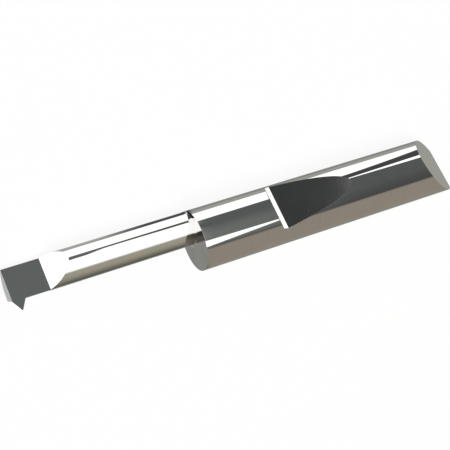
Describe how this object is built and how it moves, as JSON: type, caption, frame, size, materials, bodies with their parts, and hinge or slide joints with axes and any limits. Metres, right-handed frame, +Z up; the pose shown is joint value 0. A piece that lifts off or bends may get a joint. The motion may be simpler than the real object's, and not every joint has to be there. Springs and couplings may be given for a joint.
{
  "type": "internal threading tool",
  "caption": "Solid carbide internal threading bar: round shank with clamping notch and bevelled end, slender neck, flat rake face and a single sharp vee tooth.",
  "frame": {"origin": "on the shank's axis, in the plane of the shoulder where the neck begins", "axes": "+X along the shank's axis towards the cutting end, +Z up as the bar lies at rest on its shank, with the rake face turned towards -Y and up"},
  "size_m": [0.0513, 0.0064, 0.0064],
  "materials": {
    "carbide": "tungsten carbide, finely ground, polished on the rounds"
  },
  "bodies": {
    "root": {"threading_bar": "carbide"}
  },
  "joints": []
}
